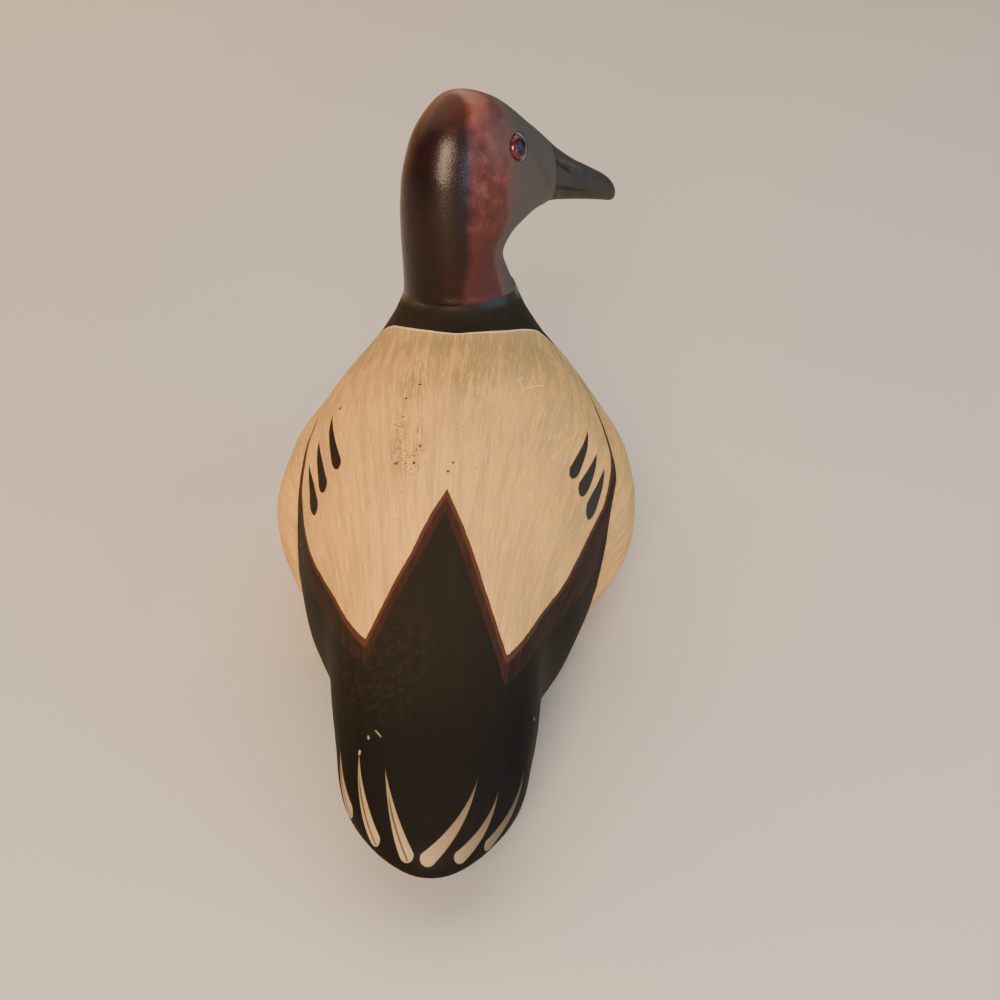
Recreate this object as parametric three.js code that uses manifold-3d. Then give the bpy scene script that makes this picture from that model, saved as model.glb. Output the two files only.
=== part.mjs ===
// A carved and painted canvasback drake decoy that stands on its flat underside: a wooden body, a separately
// carved head that is turned to the bird's right on the neck seat, and two round eyes set in the head.
// Millimetres, +Z up. The breast faces -Y, the tail +Y and the bird's left is +X. The origin is the middle of
// the flat underside.
import * as THREE from "three";
import { mergeVertices } from "three/addons/utils/BufferGeometryUtils.js";
import Module from "manifold-3d";

const wasm = await Module();
wasm.setup();

// Driving dimensions
const LENGTH = 254.6; // breast to tail tip
const SEAT_HEIGHT = 86; // floor to the joint between body and neck
const HEAD_TURN = THREE.MathUtils.degToRad(48); // from straight ahead towards the bird's right
const NECK_FROM_BREAST = 57;
const EYE_DIAMETER = 8;
const FIT_GAP = 0.15; // between the pieces where they meet

// The body's own measure runs from the breast (0) to the tail tip (LENGTH). The flat underside is centred on
// the origin.
const FLAT_MIDDLE_FROM_BREAST = 110;
const alongBody = (fromBreast) => fromBreast - FLAT_MIDDLE_FROM_BREAST;
const NECK_Y = alongBody(NECK_FROM_BREAST);

// A smooth curve through stations, as a function of the distance along the body. It never overshoots a station.
function fairCurve(stations) {
  const rise = stations.slice(1).map(([x, y], i) => (y - stations[i][1]) / (x - stations[i][0]));
  const last = stations.length - 1;
  const slope = stations.map((_, i) => {
    if (i === 0 || i === last) return rise[Math.min(i, last - 1)];
    const [before, after] = [rise[i - 1], rise[i]];
    return before * after <= 0 ? 0 : (2 * before * after) / (before + after);
  });
  return (at) => {
    let i = 0;
    while (i < last - 1 && at > stations[i + 1][0]) i++;
    const [x0, y0] = stations[i];
    const [x1, y1] = stations[i + 1];
    const width = x1 - x0;
    const t = THREE.MathUtils.clamp((at - x0) / width, 0, 1);
    const blend = t * t * (3 - 2 * t);
    const bend = t * (1 - t) ** 2 * slope[i] - t * t * (1 - t) * slope[i + 1];
    return y0 + (y1 - y0) * blend + width * bend;
  };
}

// How far a rounded end has opened at a distance from its tip: 0 at the tip, 1 from `reach` on.
function roundedEnd(fromTip, reach, fullness) {
  const left = 1 - THREE.MathUtils.clamp(fromTip / reach, 0, 1);
  return (1 - left ** fullness) ** (1 / fullness);
}

const { smoothstep } = THREE.MathUtils;
const power = (value, exponent) => Math.sign(value) * Math.abs(value) ** exponent;

// Body profiles: [distance from the breast, value]
const backLine = fairCurve([
  [0, 64], [30, 75], [57, 79.5], [85, 80.5], [110, 80], [140, 75.5], [172, 65], [206, 50], [234, 33.6], [LENGTH, 18],
]);
const keelLine = fairCurve([
  [0, 18], [30, -4], [60, -7], [150, -7], [185, -2], [215, 5], [240, 10], [LENGTH, 12.4],
]);
const beamLine = fairCurve([[0, 40], [60, 38], [112, 33], [170, 31], [212, 27], [240, 19.5], [LENGTH, 15.2]]);
const halfBeam = fairCurve([
  [0, 36], [30, 39], [57, 45], [85, 50], [112, 51.3], [136, 44.6], [158, 38.9], [185, 29.2], [210, 26], [230, 23.4],
  [LENGTH, 23],
]);
// The tail is set a touch to the bird's left, as it was carved.
const centreLine = fairCurve([[0, 0], [85, -0.4], [112, -0.6], [135, 0.5], [185, 1.4], [215, 0.3], [LENGTH, -0.3]]);
const fullnessLine = fairCurve([[0, 2], [30, 1.8], [60, 1.75], [110, 2], [160, 2.1], [215, 2.1], [LENGTH, 2.5]]);
const LOWER_FULLNESS = 2.4;
const POLE_HEIGHT = 40; // where the breast's roundest point is
const TAIL_TIP_HEIGHT = 14.8;

function bodySection(fromBreast) {
  const breast = roundedEnd(fromBreast, 42, 2.1);
  const breastSide = roundedEnd(fromBreast, 62, 2.1);
  const tail = roundedEnd(LENGTH - fromBreast, 28, 1.66);
  const tailEdge = roundedEnd(LENGTH - fromBreast, 3.5, 2);
  const close = (height, middle, open) => middle + (height - middle) * open;
  const shape = (line) =>
    close(close(line(fromBreast), POLE_HEIGHT, breast), TAIL_TIP_HEIGHT, tailEdge);
  return {
    top: shape(backLine),
    keel: shape(keelLine),
    beam: shape(beamLine),
    half: halfBeam(fromBreast) * breastSide * tail,
    fullness: fullnessLine(fromBreast),
  };
}

// The wings' lower edges, as angles round the section from the back: 90 degrees is the beam line. The bird's
// right wing is carved to end a little sooner.
const wingLines = {
  left: fairCurve([
    [0, 62], [60, 62], [85, 62.5], [104, 63], [115, 64.5], [125, 69.5], [133, 80], [141, 95], [154, 105], [LENGTH, 105],
  ]),
  right: fairCurve([
    [0, 62], [60, 62], [85, 64.5], [100, 67.5], [110, 70.5], [120, 75], [127, 80.5], [132, 90], [138, 100], [150, 105],
    [LENGTH, 105],
  ]),
};
const wingAngle = (fromBreast, side) => THREE.MathUtils.degToRad(wingLines[side](fromBreast));
const WING_LIP = 0.5; // the wing's edge stands proud
const WING_GROOVE = 1.1; // and the flank is cut in under it
// Then the flank swells past the wing, and draws in again behind it.
const FLANK = {
  left: { bulge: 3.8, fullTo: 110, endsAt: 143, tuck: 0 },
  right: { bulge: 4.1, fullTo: 100, endsAt: 130, tuck: 2.8 },
};
function flankRelief(fromBreast, below, side) {
  const cut = smoothstep(fromBreast, 55, 85) * (1 - smoothstep(fromBreast, 138, 152));
  const flank = FLANK[side];
  const swell = smoothstep(fromBreast, 30, 85) * (1 - smoothstep(fromBreast, flank.fullTo, flank.endsAt));
  const lip = WING_LIP * Math.exp(-((Math.min(below, 0) / 5) ** 2)) * (1 - smoothstep(below, 0, 1.5));
  const groove = WING_GROOVE * Math.exp(-(((below - 1.5) / 2.6) ** 2));
  const bulge = flank.bulge * smoothstep(below, 0, 15) * (1 - smoothstep(below, 24, 60));
  const waist = smoothstep(fromBreast, 112, 134) * (1 - smoothstep(fromBreast, 144, 165));
  const tuck = flank.tuck * smoothstep(below, -3, 9) * (1 - smoothstep(below, 10, 45));
  return cut * (lip - groove) + swell * bulge - waist * tuck;
}

// The raised collar that the neck stands on: it flares down from the oval seat into the back.
const SEAT_LONG = 18; // half the seat's length, along the bill
const SEAT_WIDE = 16.8;
const FLARE = 16;
const neckFrame = (x, y) => [
  -(y - NECK_Y) * Math.cos(HEAD_TURN) - x * Math.sin(HEAD_TURN),
  -(y - NECK_Y) * Math.sin(HEAD_TURN) + x * Math.cos(HEAD_TURN),
];
const seatRadius = (x, y) => {
  const [along, across] = neckFrame(x, y);
  return Math.hypot(along / SEAT_LONG, across / SEAT_WIDE);
};

function neckPedestal(x, y, z) {
  const gap = SEAT_HEIGHT - z;
  const distance = (seatRadius(x, y) - 1) * SEAT_WIDE;
  if (distance <= 1e-6) return gap;
  return Math.max(gap, 0) * (1 - Math.min(distance / FLARE, 1)) ** 3;
}

// One point of the body: `angle` runs from 0 at the back to PI at the keel on one side, and on to 2 PI.
function bodyPoint(fromBreast, angle) {
  const { top, keel, beam, half, fullness } = bodySection(fromBreast);
  const up = Math.cos(angle);
  const side = Math.sin(angle);
  const exponent = 2 / (up > 0 ? fullness : LOWER_FULLNESS);
  const rise = up > 0 ? top - beam : beam - keel;
  let x = half * power(side, exponent);
  let z = beam + rise * power(up, exponent);
  const fromBack = Math.min(angle, 2 * Math.PI - angle);
  const birdSide = angle < Math.PI ? "left" : "right";
  const below = (fromBack - wingAngle(fromBreast, birdSide)) * half;
  const relief = flankRelief(fromBreast, below, birdSide);
  x += Math.sign(x) * relief * Math.abs(side);
  z += relief * up;
  return new THREE.Vector3(x + centreLine(fromBreast), alongBody(fromBreast), z);
}

// The angle at which a section reaches the floor, or nearly the keel where it stays above the floor.
function floorAngle(fromBreast) {
  const { keel, beam } = bodySection(fromBreast);
  const level = THREE.MathUtils.clamp(beam / (beam - keel), 0, 1);
  const most = THREE.MathUtils.degToRad(172);
  return Math.min(Math.acos(-(level ** (LOWER_FULLNESS / 2))), most);
}

// Angles of one half ring, in the same order at every station: back, wing edge, flank, floor edge, keel.
function halfRing(fromBreast, side) {
  const wing = wingAngle(fromBreast, side);
  const floor = floorAngle(fromBreast);
  const millimetre = 1 / 48;
  const stops = [
    [0, 11],
    [wing - 5 * millimetre, 1],
    [wing - 1 * millimetre, 1],
    [wing + 1.5 * millimetre, 1],
    [wing + 5 * millimetre, 8],
    [floor, 3],
    [Math.PI, 0],
  ];
  const angles = [];
  for (let k = 0; k + 1 < stops.length; k++) {
    const [from, steps] = stops[k];
    for (let i = 0; i < steps; i++) angles.push(from + ((stops[k + 1][0] - from) * i) / steps);
  }
  return angles;
}

// Stations along the body, closest at the two rounded ends and beside the neck.
function stations() {
  const legs = [[0.35, 5], [8, 5], [32, 14], [84, 12], [150, 12], [222, 5], [246, 5], [LENGTH - 0.25, 0]];
  const places = [];
  for (let k = 0; k + 1 < legs.length; k++) {
    const [from, steps] = legs[k];
    const to = legs[k + 1][0];
    for (let i = 0; i < steps; i++) places.push(from + ((to - from) * i) / steps);
  }
  places.push(LENGTH - 0.25);
  return places;
}

// Moves the grid points nearest to the seat's edge on to it, so that the edge is a clean oval.
function snapToSeat(rings) {
  const radius = rings.map((ring) => ring.map((p) => (p.z > 50 ? seatRadius(p.x, p.y) : 9)));
  const snapped = new Set();
  const snap = (r, j) => {
    const p = rings[r][j];
    const scale = 1 / radius[r][j];
    p.x *= scale;
    p.y = NECK_Y + (p.y - NECK_Y) * scale;
    radius[r][j] = 1;
    snapped.add(p);
  };
  for (let r = 0; r + 1 < rings.length; r++) {
    const count = rings[r].length;
    for (let j = 0; j < count; j++) {
      for (const [r2, j2] of [[r + 1, j], [r, (j + 1) % count]]) {
        const [a, b] = [radius[r][j] - 1, radius[r2][j2] - 1];
        if (a * b >= -1e-9) continue;
        if (Math.abs(a) < Math.abs(b)) snap(r, j);
        else snap(r2, j2);
      }
    }
  }
  return snapped;
}

// A closed skin over rings of points, with a fan over each end. Each four-sided cell is split along the
// diagonal that joins its two marked points, where it has them.
function loft(rings, marked = new Set()) {
  const count = rings[0].length;
  const points = rings.flat();
  const positions = points.flatMap((p) => [p.x, p.y, p.z]);
  const index = [];
  for (let r = 0; r + 1 < rings.length; r++) {
    for (let i = 0; i < count; i++) {
      const a = r * count + i;
      const b = r * count + ((i + 1) % count);
      const [c, d] = [b + count, a + count];
      if (marked.has(points[b]) && marked.has(points[d])) index.push(a, b, d, b, c, d);
      else index.push(a, b, c, a, c, d);
    }
  }
  for (const [ring, first, last] of [
    [rings[0], 0, false],
    [rings[rings.length - 1], (rings.length - 1) * count, true],
  ]) {
    const middle = ring.reduce((sum, p) => sum.add(p), new THREE.Vector3()).divideScalar(count);
    const centre = positions.length / 3;
    positions.push(middle.x, middle.y, middle.z);
    for (let i = 0; i < count; i++) {
      const a = first + i;
      const b = first + ((i + 1) % count);
      index.push(centre, last ? a : b, last ? b : a);
    }
  }
  const geometry = new THREE.BufferGeometry();
  geometry.setAttribute("position", new THREE.Float32BufferAttribute(positions, 3));
  geometry.setIndex(index);
  return geometry;
}

function bodyGeometry() {
  const rings = stations().map((fromBreast) => {
    const left = halfRing(fromBreast, "left");
    const right = halfRing(fromBreast, "right").slice(1).reverse();
    const angles = [...left, Math.PI, ...right.map((angle) => 2 * Math.PI - angle)];
    return angles.map((angle) => bodyPoint(fromBreast, angle));
  });
  const seatEdge = snapToSeat(rings);
  for (const point of rings.flat()) {
    if (point.z > 50) point.z += neckPedestal(point.x, point.y, point.z);
    point.z = Math.max(point.z, 0);
  }
  return loft(rings, seatEdge);
}

// Head ribs in the head's own plane: forward along the bill, and up from the joint. Each rib runs from the
// back-and-crown line to the throat-and-chin line, `half` is half its width, and `bow` is how far its sides
// are swept back.
const HEAD_RIBS = [
  { back: [-18.4, 0], front: [17.2, 0], half: 16.5, bow: 0 },
  { back: [-18.8, 9], front: [14.2, 6], half: 15.9, bow: 0 },
  { back: [-19.2, 19], front: [12.6, 12], half: 15.6, bow: 0 },
  { back: [-19.4, 31], front: [16.5, 16.5], half: 15.8, bow: 0 },
  { back: [-18, 43], front: [22.5, 19.4], half: 15.9, bow: 0 },
  { back: [-12.6, 54.8], front: [27.5, 20.9], half: 15.5, bow: 1 },
  { back: [-2.2, 63], front: [32, 21.6], half: 14.2, bow: 2 },
  { back: [12, 59.8], front: [34.5, 22], half: 12.4, bow: 3 },
  { back: [26.5, 49.5], front: [36.8, 22], half: 9.9, bow: 4 },
  { back: [38, 39.6], front: [39, 21.8], half: 8.2, bow: 4.6 },
  { back: [39.6, 37.9], front: [40.4, 21.6], half: 7.2, bow: 4.4 },
  { back: [46.5, 33.6], front: [47.5, 20.4], half: 7, bow: 3 },
  { back: [54, 29.8], front: [55, 18.8], half: 7, bow: 2 },
  { back: [61, 25.2], front: [62, 17.6], half: 6, bow: 1 },
  { back: [65, 20.5], front: [65, 17.2], half: 2.5, bow: 0 },
];

function headRing(t, around) {
  const column = (pick) =>
    new THREE.SplineCurve(HEAD_RIBS.map((rib) => new THREE.Vector2(...pick(rib)))).getPoint(t);
  const outer = column((rib) => rib.back);
  const inner = column((rib) => rib.front);
  const size = column((rib) => [rib.half, rib.bow]);
  const middle = outer.clone().add(inner).multiplyScalar(0.5);
  const reach = outer.clone().sub(inner).multiplyScalar(0.5);
  const ring = [];
  for (let j = 0; j < around; j++) {
    const angle = (2 * Math.PI * j) / around;
    const along = power(Math.cos(angle), 0.95);
    const across = power(Math.sin(angle), 0.95);
    const place = middle.clone().addScaledVector(reach, along);
    place.x -= size.y * across * across;
    ring.push(new THREE.Vector3(-size.x * across, -place.x, place.y));
  }
  return ring;
}

function headGeometry() {
  const AROUND = 36;
  const last = HEAD_RIBS.length - 1;
  const rings = [];
  for (let rib = 0; rib < last; rib++) {
    const steps = rib === 9 ? 2 : 3;
    for (let i = 0; i < steps; i++) rings.push(headRing((rib + i / steps) / last, AROUND));
  }
  rings.push(headRing(1, AROUND));
  rings[0].forEach((point) => (point.z = 0));
  return loft(rings);
}

// The glass eyes: flattened beads let into the cheeks, facing a little forward and up.
const EYE_DEPTH = 6; // front to back
const EYE_SET = 1.1; // how far the bead's middle lies under the cheek
const EYE_PLACE = { forward: 12.4, aside: 13.5, up: 46 }; // where its axis leaves the cheek
const EYE_FACING = { forward: 0.26, aside: 0.92, up: 0.28 };

function bead(radius, depth) {
  const profile = [];
  const STEPS = 8;
  for (let i = 0; i <= STEPS; i++) {
    const angle = (Math.PI * i) / STEPS;
    profile.push(new THREE.Vector2(i % STEPS === 0 ? 0 : radius * Math.sin(angle), -(depth / 2) * Math.cos(angle)));
  }
  const geometry = new THREE.LatheGeometry(profile, 18);
  geometry.deleteAttribute("uv");
  geometry.deleteAttribute("normal");
  return dropFlats(mergeVertices(geometry, 1e-4));
}

// Leaves out the triangles that shrank to nothing at the poles of a turned shape.
function dropFlats(geometry) {
  const index = geometry.index.array;
  const kept = [];
  for (let i = 0; i < index.length; i += 3) {
    const [a, b, c] = index.slice(i, i + 3);
    if (a !== b && b !== c && c !== a) kept.push(a, b, c);
  }
  geometry.setIndex(kept);
  return geometry;
}

// Sets a bead's geometry in the head's frame, on the bird's left (1) or right (-1).
function placeEye(geometry, side) {
  const facing = new THREE.Vector3(side * EYE_FACING.aside, -EYE_FACING.forward, EYE_FACING.up).normalize();
  const centre = new THREE.Vector3(side * EYE_PLACE.aside, -EYE_PLACE.forward, EYE_PLACE.up);
  centre.addScaledVector(facing, -EYE_SET);
  const turn = new THREE.Quaternion().setFromUnitVectors(new THREE.Vector3(0, 1, 0), facing);
  return geometry.applyQuaternion(turn).translate(centre.x, centre.y, centre.z);
}
const eyeGeometry = (side) => placeEye(bead(EYE_DIAMETER / 2, EYE_DEPTH), side);
const socketGeometry = (side) =>
  placeEye(bead(EYE_DIAMETER / 2 + FIT_GAP, EYE_DEPTH + 2 * FIT_GAP), side);

// Joins and cuts
const toSolid = (geometry) =>
  new wasm.Manifold(
    new wasm.Mesh({
      numProp: 3,
      vertProperties: new Float32Array(geometry.attributes.position.array),
      triVerts: new Uint32Array(geometry.index.array),
    }),
  );

function toGeometry(solid) {
  const mesh = solid.getMesh();
  const geometry = new THREE.BufferGeometry();
  geometry.setAttribute("position", new THREE.BufferAttribute(new Float32Array(mesh.vertProperties), 3));
  geometry.setIndex(new THREE.BufferAttribute(new Uint32Array(mesh.triVerts), 1));
  return geometry;
}

function socketedHead() {
  const sockets = [1, -1].map((side) => toSolid(socketGeometry(side)));
  return toGeometry(toSolid(headGeometry()).subtract(sockets[0]).subtract(sockets[1]));
}

const painted = (color, roughness) =>
  new THREE.MeshStandardMaterial({ color, roughness, metalness: 0 });
const piece = (name, geometry, material) => {
  const mesh = new THREE.Mesh(geometry, material);
  mesh.name = name;
  return mesh;
};

const decoy = new THREE.Group();
decoy.add(piece("body", bodyGeometry(), painted(0xd9c39c, 0.6)));

// The head and its eyes are made facing straight ahead and turned together.
const turned = new THREE.Group();
turned.position.set(0, NECK_Y, SEAT_HEIGHT + FIT_GAP);
turned.rotation.z = -HEAD_TURN;
const glass = painted(0x5a1018, 0.1);
turned.add(piece("head", socketedHead(), painted(0x5a2c20, 0.4)));
turned.add(piece("eye_left", eyeGeometry(1), glass), piece("eye_right", eyeGeometry(-1), glass));
decoy.add(turned);

export default decoy;
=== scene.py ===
"""A carved and painted canvasback drake decoy: fine carving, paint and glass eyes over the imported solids."""
import functools
import math

import bmesh
import bpy
import numpy as np
from bpy.props import FloatProperty, FloatVectorProperty, IntProperty, PointerProperty
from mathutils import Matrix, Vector, noise


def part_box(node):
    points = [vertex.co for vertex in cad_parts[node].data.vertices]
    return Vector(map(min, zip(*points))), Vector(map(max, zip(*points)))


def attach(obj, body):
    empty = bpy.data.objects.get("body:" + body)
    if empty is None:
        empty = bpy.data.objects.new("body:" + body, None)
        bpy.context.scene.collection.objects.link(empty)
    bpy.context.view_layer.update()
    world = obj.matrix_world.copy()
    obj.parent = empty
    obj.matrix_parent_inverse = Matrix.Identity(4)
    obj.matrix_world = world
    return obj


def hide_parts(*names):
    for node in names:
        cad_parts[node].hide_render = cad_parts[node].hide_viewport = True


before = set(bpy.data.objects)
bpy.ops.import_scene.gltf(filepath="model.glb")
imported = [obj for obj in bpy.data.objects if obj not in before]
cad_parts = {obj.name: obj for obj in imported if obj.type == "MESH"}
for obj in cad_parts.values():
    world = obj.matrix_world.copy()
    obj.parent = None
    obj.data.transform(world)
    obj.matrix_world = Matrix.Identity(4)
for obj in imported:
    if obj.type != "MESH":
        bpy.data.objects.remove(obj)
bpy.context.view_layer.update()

bl_info = {
    "name": "Duck Decoy",
    "version": (1, 0, 0),
    "blender": (4, 5, 0),
    "location": "View3D > Sidebar > Decoy",
    "description": "Carves, paints and lights a canvasback drake decoy",
    "category": "Object",
}

# Places and lines are in millimetres, in the decoy's own frame: breast towards -Y, tail towards +Y, the
# bird's left towards +X, and the floor at 0.
MM = 0.001
SIDES = {"left": 1, "right": -1}

# The head's own frame: forward along the bill, aside towards the bird's left, up from the neck joint.
HEAD_TURN = math.radians(48)
NECK_Y = -53.0
NECK_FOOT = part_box("head")[0].z / MM
SEAT_HEIGHT = NECK_FOOT - 0.15

# Head ribs from the neck to the bill's tip: back or crown (forward, up), throat or chin (forward, up), half
# width and sweep of the sides.
HEAD_RIBS = (
    (-18.4, 0, 18, 0, 16.8, 0),
    (-18.8, 9, 14.9, 6, 15.9, 0),
    (-19.2, 19, 12.7, 12, 15.6, 0),
    (-19.4, 31, 16.5, 16.5, 15.8, 0),
    (-18, 43, 22.5, 19.2, 15.9, 0),
    (-12.6, 54.8, 27.5, 20.7, 15.5, 1),
    (-2.2, 62.8, 32, 21.3, 14.2, 2),
    (12, 59.8, 34.5, 21.7, 12.4, 3),
    (26.5, 49.6, 36.8, 21.6, 9.9, 4),
    (37, 41, 39, 21.4, 8.3, 4.6),
    (40.2, 38.5, 41.2, 21.1, 7.3, 4.4),
    (46.8, 34, 47.8, 19.9, 7, 3),
    (54, 30.1, 55, 18.4, 7.1, 2),
    (60.5, 26.6, 61, 17, 6.4, 1),
    (64, 23.6, 64, 16.3, 4.6, 0.4),
    (65.6, 20.8, 65.6, 16.9, 2.4, 0),
)
# The left eye in the head's frame, how deep it is set, and its glass, iris and pupil.
EYE_PLACE = Vector((12.4, 13.5, 46))
EYE_FACING = Vector((0.26, 0.92, 0.28)).normalized()
EYE_SET = 1.1
EYE_RADIUS = 4
EYE_HALF_DEPTH = 3
IRIS_RADIUS = 3.6
IRIS_RISE = 2.5
PUPIL_RADIUS = 2.55
PUPIL_OFFSET = 0.4
PUPIL_BLACK = (0.003, 0.003, 0.003)
# Colour of the painted glint on the rim before each eye
RIM_GLINT_COLOUR = (0.28, 0.29, 0.28)

# Painted lines, seen from the side (y, z): the wing's lower edge, and the low edges of the cream feathers and
# of the brown border behind them.
WING_EDGE = {
    "left": ((-112, 54), (-60, 57), (-26, 57.2), (-4, 56.8), (7, 55), (13.5, 51.2), (18.5, 45), (23, 36.5),
             (26, 28), (27.5, 18), (27.5, -4)),
    "right": ((-112, 54), (-60, 56.8), (-28, 56.4), (-19, 54.5), (-8, 52), (3, 49), (10.5, 46), (16.5, 41.5),
              (19.5, 35), (21, 27), (21.5, 16), (21.5, -4)),
}
CREAM_LOW = {
    "left": ((-112, 55), (-60, 57.8), (-26, 58.2), (-4, 58.3), (7, 57.1), (15, 53.4), (21, 49.4), (28, 46.8),
             (42, 45.7), (65, 44.9), (93, 46.2), (130, 47)),
    "right": ((-112, 55), (-60, 57.8), (-28, 58), (-14.5, 56.3), (-6, 55.1), (2.3, 53.5), (9.4, 51.5),
              (16, 48.4), (24, 45.6), (45, 44.3), (60, 42), (74, 42.2), (96, 44.2), (130, 45)),
}
BORDER_LOW = {
    "left": (*WING_EDGE["left"][:6], (19, 46), (25, 42), (35, 39.2), (66, 37.7), (80, 39.9), (91, 42.2),
             (101, 43.2), (130, 44)),
    "right": (*WING_EDGE["right"][:7], (17, 42), (23, 37), (30, 33.8), (54, 34), (68, 34.6), (87, 39),
              (104, 40.7), (130, 42)),
}
# The cream feathers' inner edges, seen from above (x, y), from the middle of the back to the wing tips.
NOTCH = {
    "left": ((-5, 43), (-0.7, 52.8), (3.4, 61.6), (7.9, 73), (13.6, 84.6), (18.1, 93.3), (24, 105)),
    "right": ((3.5, 43), (-0.7, 52.8), (-5, 63.2), (-9.6, 75.4), (-13.4, 86), (-17.4, 96.4), (-21, 106)),
}
BORDER_WIDTH = 3.1
# The black breast's rear edge: degrees round from the top of the back, and y.
BREAST_EDGE = ((-7, -28.2), (0, -26.9), (7, -28.2), (13, -30.6), (20, -34.5), (27, -41), (36, -50), (50, -57),
               (90, -66), (130, -74), (180, -78))
BREAST_AXIS_Z = 38

# Painted lines on the head, seen from its side (forward, up).
FACE_EDGE = ((2.3, -3), (2.6, 4), (1.6, 9), (0.8, 14), (2.6, 18), (6, 23.5), (6.6, 30), (6.9, 36), (7.4, 42),
             (8.8, 48), (8.4, 53), (9.4, 57), (9.6, 62), (9.6, 72))
BILL_EDGE = ((35.4, 14), (34.6, 21), (33.6, 25), (33.4, 28.5), (33.6, 32), (33.9, 35), (34.4, 38.5),
             (36.6, 46))
CHEEK_EDGE = ((-11.4, -3), (-10.6, 4), (-9.1, 14), (-8.4, 25), (-8.1, 35), (-7.6, 42), (-6.3, 49), (-4.6, 54),
              (-2.8, 58), (-2, 62), (-1.6, 72))


def linear(red, green, blue):
    """A display colour (0 to 255) as the scene-linear values that Blender's colour properties hold."""
    share = np.array((red, green, blue)) / 255
    return tuple(np.where(share <= 0.04045, share / 12.92, ((share + 0.055) / 1.055) ** 2.4))


def to_head(points):
    """Points in the decoy's frame, as forward, aside and up in the head's frame."""
    x, y, z = points.T
    sine, cosine = math.sin(HEAD_TURN), math.cos(HEAD_TURN)
    forward = -(y - NECK_Y) * cosine - x * sine
    aside = -(y - NECK_Y) * sine + x * cosine
    return np.stack((forward, aside, z - NECK_FOOT), axis=1)


def from_head(forward, aside, up):
    """A place in the head's frame, as a point in the decoy's frame. Numbers or arrays."""
    sine, cosine = math.sin(HEAD_TURN), math.cos(HEAD_TURN)
    return aside * cosine - forward * sine, NECK_Y - forward * cosine - aside * sine, up + NECK_FOOT


def spline(rows, places):
    """A smooth curve through rows of numbers, at places counted in rows from the first one."""
    rows = np.asarray(rows, float)
    last = len(rows) - 1
    start = np.clip(np.floor(places).astype(int), 0, last - 1)
    t = (places - start)[:, None]
    before, here = rows[np.maximum(start - 1, 0)], rows[start]
    there, after = rows[start + 1], rows[np.minimum(start + 2, last)]
    leave, arrive = (there - before) / 2, (after - here) / 2
    cubic = 2 * here - 2 * there + leave + arrive
    square = -3 * here + 3 * there - 2 * leave - arrive
    return cubic * t**3 + square * t**2 + leave * t + here


def distance_to_line(points, line, smooth=6):
    """Signed distance from points in a plane to a line through it: positive on the line's left-hand side."""
    path = spline(line, np.linspace(0, len(line) - 1, (len(line) - 1) * smooth + 1))
    best = np.full(len(points), np.inf)
    signed = np.zeros(len(points))
    for start, end in zip(path[:-1], path[1:]):
        run = end - start
        offset = points - start
        share = np.clip(offset @ run / (run @ run), 0, 1)
        gap = np.linalg.norm(offset - share[:, None] * run, axis=1)
        turn = run[0] * offset[:, 1] - run[1] * offset[:, 0]
        nearer = gap < best - 1e-9
        best = np.where(nearer, gap, best)
        signed = np.where(nearer, np.sign(turn) * gap, signed)
    return signed


def smoothstep(value, low, high):
    """0 below the low value, 1 above the high one, smooth between."""
    share = np.clip((value - low) / (high - low), 0, 1)
    return share * share * (3 - 2 * share)


# Sizes and colours that a user would change


class CarvingSizes(bpy.types.PropertyGroup):
    """How deep the fine carving goes, in metres."""

    def depth(name, description, metres):
        return FloatProperty(name=name, description=description, default=metres, min=0, unit="LENGTH")

    tool_marks: depth("Tool marks", "Depth of the shallow unevenness that the carver left", 0.00022)
    wing_undercut: depth("Wing undercut", "Extra depth of the cut under the wing's edge", 0.0005)
    paint_fillet: depth("Neck fillet", "Height of the filled and painted-over joint round the neck", 0.0017)
    neck_roll: depth("Neck roll", "How far the neck's foot swells over the joint at the back", 0.0002)
    bill_step: depth("Bill step", "How far the bill lies below the face where they meet", 0.0004)
    nostril_depth: depth("Nostril depth", "Depth of the two carved nostrils", 0.0014)
    lid_height: depth("Eyelid height", "Height of the soft rim round the eyes", 0.0005)
    mouth_depth: depth("Mouth line depth", "Depth of the line between the two halves of the bill", 0.0007)
    rings: IntProperty(
        name="Head rings", description="Rings of faces from the neck to the bill tip", default=180, min=40,
    )
    around: IntProperty(
        name="Faces round the head", description="Faces in each ring of the head", default=132, min=36,
    )


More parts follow.
